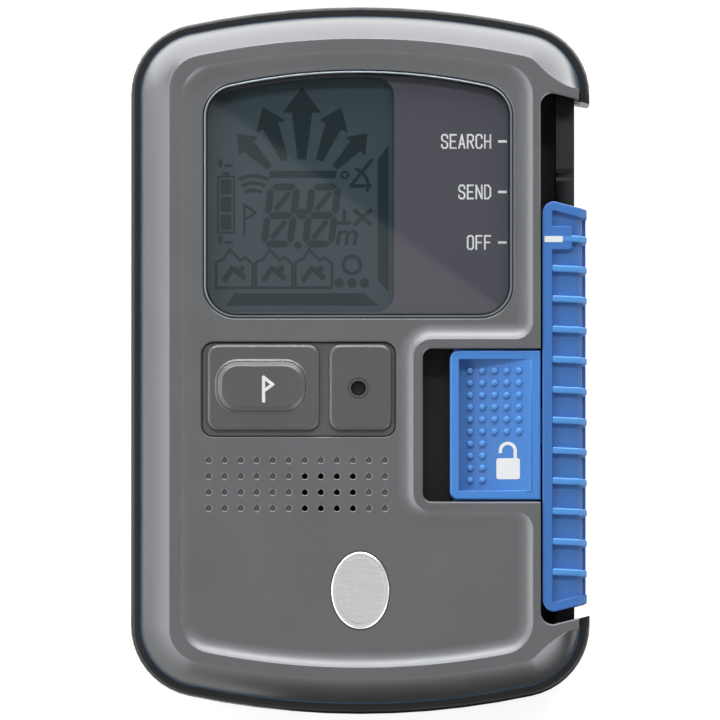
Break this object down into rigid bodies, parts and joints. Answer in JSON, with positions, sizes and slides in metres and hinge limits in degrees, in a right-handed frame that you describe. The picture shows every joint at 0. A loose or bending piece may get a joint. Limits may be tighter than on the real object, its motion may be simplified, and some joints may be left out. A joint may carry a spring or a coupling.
{
  "type": "avalanche transceiver",
  "caption": "Handheld avalanche transceiver with a crowned grey housing, display window, marking button, sound grille, blue side slide switch and blue lock button.",
  "frame": {"origin": "centre of the flat back face, which the transceiver lies on", "axes": "+Z out of the display, +Y along the body towards the display end, +X towards the slide switch"},
  "size_m": [0.0764, 0.118, 0.029],
  "materials": {
    "housing_grey": "satin moulded plastic",
    "housing_dark": "fine-textured moulded plastic",
    "blue_seal": "moulded rubber",
    "steel": "zinc plated",
    "bright_badge": "brushed",
    "window": "polished",
    "black_foam": "foam",
    "display": "satin",
    "black_plastic": "moulded",
    "clear_plastic": "clear",
    "strip_rubber": "layered",
    "board_green": "solder resist",
    "chip_black": "moulded",
    "tinned_steel": "tinned",
    "ceramic_tan": "ceramic",
    "clear_lamp": "clear",
    "black_cloth": "woven",
    "ferrite": "sintered",
    "copper_wire": "enamelled",
    "saddle_grey": "moulded",
    "keypad_grey": "fine matt",
    "switch_blue": "satin moulded plastic",
    "magnet": "nickel plated",
    "spring_steel": "bright",
    "cell_wrap": "printed film",
    "nickel": "nickel plated",
    "black_rubber": "moulded",
    "brass": "turned"
  },
  "bodies": {
    "housing": {"front_housing": "housing_grey", "rear_housing": "housing_dark", "housing_seal": "blue_seal", "housing_screws": "steel", "name_plate": "bright_badge", "window_lens": "window", "window_adhesive": "black_foam", "lcd_glass": "display", "lcd_frame": "black_plastic", "lcd_light_guide": "clear_plastic", "lcd_contact_strip": "strip_rubber", "main_board": "board_green", "processor_chip": "chip_black", "radio_module": "tinned_steel", "hall_sensors": "chip_black", "small_components": "ceramic_tan", "status_led": "clear_lamp", "button_switch": "tinned_steel", "speaker": "black_plastic", "speaker_mesh": "black_cloth", "antenna_x_rod": "ferrite", "antenna_x_coil": "copper_wire", "antenna_y_rod": "ferrite", "antenna_y_coil": "copper_wire", "antenna_z_core": "ferrite", "antenna_z_coil": "copper_wire", "antenna_saddles": "saddle_grey", "keypad_frame": "keypad_grey", "lock_spring": "spring_steel", "battery_cell_1": "cell_wrap", "battery_cell_2": "cell_wrap", "battery_cell_3": "cell_wrap", "contact_springs": "nickel", "contact_plates": "nickel", "cover_hinge_pins": "steel", "cover_screw_nut": "brass"},
    "slider": {"mode_slider": "switch_blue", "slider_magnet": "magnet", "detent_spring": "spring_steel"},
    "lock": {"lock_button": "switch_blue"},
    "key": {"marking_button": "keypad_grey"},
    "cover": {"battery_cover": "housing_dark", "cover_seal": "black_rubber"},
    "screw": {"cover_screw": "steel"}
  },
  "joints": [
    {"name": "mode_slide", "type": "slide", "parent": "housing", "child": "slider", "axis": [0, 1, 0], "range_m": [0, 0.0165]},
    {"name": "lock_slide", "type": "slide", "parent": "housing", "child": "lock", "axis": [-1, 0, 0], "range_m": [0, 0.0042], "stiffness_N_per_m": 60, "springref_m": -0.001, "deforming": ["lock_spring"]},
    {"name": "key_press", "type": "slide", "parent": "housing", "child": "key", "axis": [0, 0, -1], "range_m": [0, 0.0008], "stiffness_N_per_m": 400, "springref_m": -0.0005},
    {"name": "cover_open", "type": "hinge", "parent": "housing", "child": "cover", "pos_m": [0, 0.0126, 0.0021], "axis": [1, 0, 0], "range_deg": [0, 90]},
    {"name": "cover_screw_turn", "type": "hinge", "parent": "cover", "child": "screw", "pos_m": [0, -0.0434, 0.001], "axis": [0, 0, -1], "range_deg": [0, 450]}
  ]
}
